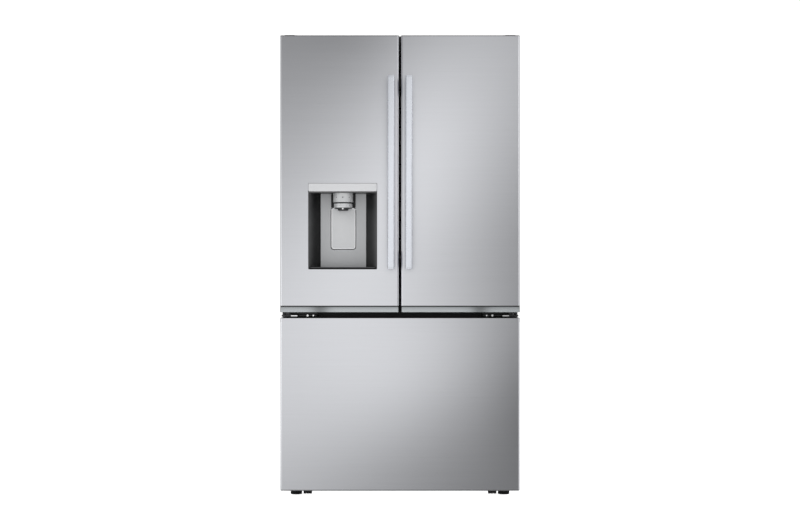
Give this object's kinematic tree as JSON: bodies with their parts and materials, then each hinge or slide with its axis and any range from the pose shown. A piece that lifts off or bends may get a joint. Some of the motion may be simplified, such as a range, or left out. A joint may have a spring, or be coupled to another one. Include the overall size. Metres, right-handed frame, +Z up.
{
  "type": "french door refrigerator",
  "caption": "French door refrigerator with brushed steel fronts, bar handles, an ice and water dispenser in the left door and a bottom freezer drawer.",
  "frame": {"origin": "on the floor, under the middle of the whole refrigerator's box", "axes": "+Z up; the doors face -Y; +X is the right-hand side seen from the front"},
  "size_m": [0.908, 0.796, 1.777],
  "materials": {
    "stainless_front": "satin",
    "satin_aluminium": "satin",
    "polished_trim": "polished",
    "chrome_spout": "polished",
    "dark_gloss": "gloss",
    "case_paint": "satin",
    "galvanised_steel": "matte",
    "hinge_steel": "satin",
    "white_liner": "satin",
    "foam": "matte",
    "evaporator_fins": "satin",
    "compressor_paint": "satin",
    "black_plastic": "matte",
    "black_rubber": "matte",
    "grey_gasket": "matte",
    "flap_plastic": "matte",
    "shelf_glass": "gloss",
    "clear_bin": "gloss"
  },
  "bodies": {
    "cabinet": {"outer_case": "case_paint", "rear_panel": "galvanised_steel", "machine_cover": "galvanised_steel", "insulation": "foam", "fridge_liner": "white_liner", "freezer_liner": "white_liner", "evaporator": "evaporator_fins", "compressor": "compressor_paint", "air_tower": "white_liner", "upper_left_shelf": "shelf_glass", "upper_right_shelf": "shelf_glass", "middle_shelf": "shelf_glass", "crisper_cover": "shelf_glass", "left_top_hinge": "hinge_steel", "right_top_hinge": "hinge_steel", "left_hinge_cover": "black_plastic", "right_hinge_cover": "black_plastic", "left_center_hinge": "hinge_steel", "right_center_hinge": "hinge_steel", "left_drawer_rail": "galvanised_steel", "right_drawer_rail": "galvanised_steel"},
    "left_door": {"left_door_skin": "stainless_front", "left_door_liner": "white_liner", "left_door_gasket": "grey_gasket", "left_door_trim": "polished_trim", "left_handle": "satin_aluminium", "dispenser_housing": "dark_gloss", "dispenser_fascia": "satin_aluminium", "dispenser_spout": "chrome_spout", "drip_tray": "black_plastic", "ice_compartment": "white_liner", "left_door_bin": "clear_bin"},
    "right_door": {"right_door_skin": "stainless_front", "right_door_liner": "white_liner", "right_door_gasket": "grey_gasket", "right_door_trim": "polished_trim", "right_handle": "satin_aluminium", "upper_door_bin": "clear_bin", "lower_door_bin": "clear_bin", "bottom_door_bin": "clear_bin"},
    "freezer_drawer": {"drawer_skin": "stainless_front", "drawer_liner": "white_liner", "drawer_gasket": "grey_gasket", "lower_basket": "clear_bin"},
    "mullion_flap": {"mullion_flap": "flap_plastic"},
    "dispenser_paddle": {"dispenser_paddle": "satin_aluminium"},
    "left_spout_button": {"left_spout_button": "satin_aluminium"},
    "center_spout_button": {"center_spout_button": "satin_aluminium"},
    "right_spout_button": {"right_spout_button": "satin_aluminium"},
    "upper_basket": {"upper_basket": "clear_bin"},
    "left_mid_rail": {"left_mid_rail": "galvanised_steel"},
    "right_mid_rail": {"right_mid_rail": "galvanised_steel"},
    "left_crisper": {"left_crisper": "clear_bin"},
    "right_crisper": {"right_crisper": "clear_bin"},
    "left_foot": {"left_foot": "black_rubber"},
    "right_foot": {"right_foot": "black_rubber"},
    "front_left_roller": {"front_left_roller": "black_plastic"},
    "front_right_roller": {"front_right_roller": "black_plastic"},
    "rear_rollers": {"rear_rollers": "black_plastic"},
    "condenser_fan": {"condenser_fan": "black_plastic"}
  },
  "joints": [
    {"name": "left_door_hinge", "type": "hinge", "parent": "cabinet", "child": "left_door", "pos_m": [-0.424, -0.28, 0.708], "axis": [0, 0, -1], "range_deg": [0, 125]},
    {"name": "right_door_hinge", "type": "hinge", "parent": "cabinet", "child": "right_door", "pos_m": [0.424, -0.28, 0.708], "axis": [0, 0, 1], "range_deg": [0, 125]},
    {"name": "freezer_drawer_slide", "type": "slide", "parent": "cabinet", "child": "freezer_drawer", "axis": [0, -1, 0], "range_m": [0, 0.43]},
    {"name": "mullion_flap_hinge", "type": "hinge", "parent": "left_door", "child": "mullion_flap", "pos_m": [-0.04, -0.211, 0.76], "axis": [0, 0, 1], "range_deg": [0, 90]},
    {"name": "dispenser_paddle_hinge", "type": "hinge", "parent": "left_door", "child": "dispenser_paddle", "pos_m": [-0.217, -0.256, 1.1], "axis": [1, 0, 0], "range_deg": [0, 5.5], "stiffness_Nm_per_rad": 2},
    {"name": "left_spout_button_press", "type": "slide", "parent": "left_door", "child": "left_spout_button", "axis": [0, 1, 0], "range_m": [0, 0.0012], "stiffness_N_per_m": 1500},
    {"name": "center_spout_button_press", "type": "slide", "parent": "left_door", "child": "center_spout_button", "axis": [0, 1, 0], "range_m": [0, 0.0012], "stiffness_N_per_m": 1500},
    {"name": "right_spout_button_press", "type": "slide", "parent": "left_door", "child": "right_spout_button", "axis": [0, 1, 0], "range_m": [0, 0.0012], "stiffness_N_per_m": 1500},
    {"name": "upper_basket_slide", "type": "slide", "parent": "cabinet", "child": "upper_basket", "axis": [0, -1, 0], "range_m": [0, 0.2365]},
    {"name": "left_mid_rail_slide", "type": "slide", "parent": "cabinet", "child": "left_mid_rail", "axis": [0, -1, 0], "range_m": [0, 0.215]},
    {"name": "right_mid_rail_slide", "type": "slide", "parent": "cabinet", "child": "right_mid_rail", "axis": [0, -1, 0], "range_m": [0, 0.215]},
    {"name": "left_crisper_slide", "type": "slide", "parent": "cabinet", "child": "left_crisper", "axis": [0, -1, 0], "range_m": [0, 0.2295]},
    {"name": "right_crisper_slide", "type": "slide", "parent": "cabinet", "child": "right_crisper", "axis": [0, -1, 0], "range_m": [0, 0.2295]},
    {"name": "left_foot_screw", "type": "hinge", "parent": "cabinet", "child": "left_foot", "pos_m": [-0.402, -0.195, 0], "axis": [0, 0, 1], "continuous": true},
    {"name": "right_foot_screw", "type": "hinge", "parent": "cabinet", "child": "right_foot", "pos_m": [0.402, -0.195, 0], "axis": [0, 0, 1], "continuous": true},
    {"name": "front_left_roller_spin", "type": "hinge", "parent": "cabinet", "child": "front_left_roller", "pos_m": [-0.3575, -0.195, 0.0198], "axis": [1, 0, 0], "continuous": true},
    {"name": "front_right_roller_spin", "type": "hinge", "parent": "cabinet", "child": "front_right_roller", "pos_m": [0.3575, -0.195, 0.0198], "axis": [1, 0, 0], "continuous": true},
    {"name": "rear_rollers_spin", "type": "hinge", "parent": "cabinet", "child": "rear_rollers", "pos_m": [0, 0.33, 0.019], "axis": [1, 0, 0], "continuous": true},
    {"name": "condenser_fan_spin", "type": "hinge", "parent": "cabinet", "child": "condenser_fan", "pos_m": [0.114, 0.3, 0.15], "axis": [1, 0, 0], "continuous": true}
  ],
  "couplings": [
    {"joint": "mullion_flap_hinge", "follows": "left_door_hinge", "ratio": 0.72},
    {"joint": "left_crisper_slide", "follows": "left_door_hinge", "m_per_rad": 0.105},
    {"joint": "right_crisper_slide", "follows": "right_door_hinge", "m_per_rad": 0.105},
    {"joint": "upper_basket_slide", "follows": "freezer_drawer_slide", "ratio": 0.55},
    {"joint": "left_mid_rail_slide", "follows": "freezer_drawer_slide", "ratio": 0.5},
    {"joint": "right_mid_rail_slide", "follows": "freezer_drawer_slide", "ratio": 0.5}
  ]
}
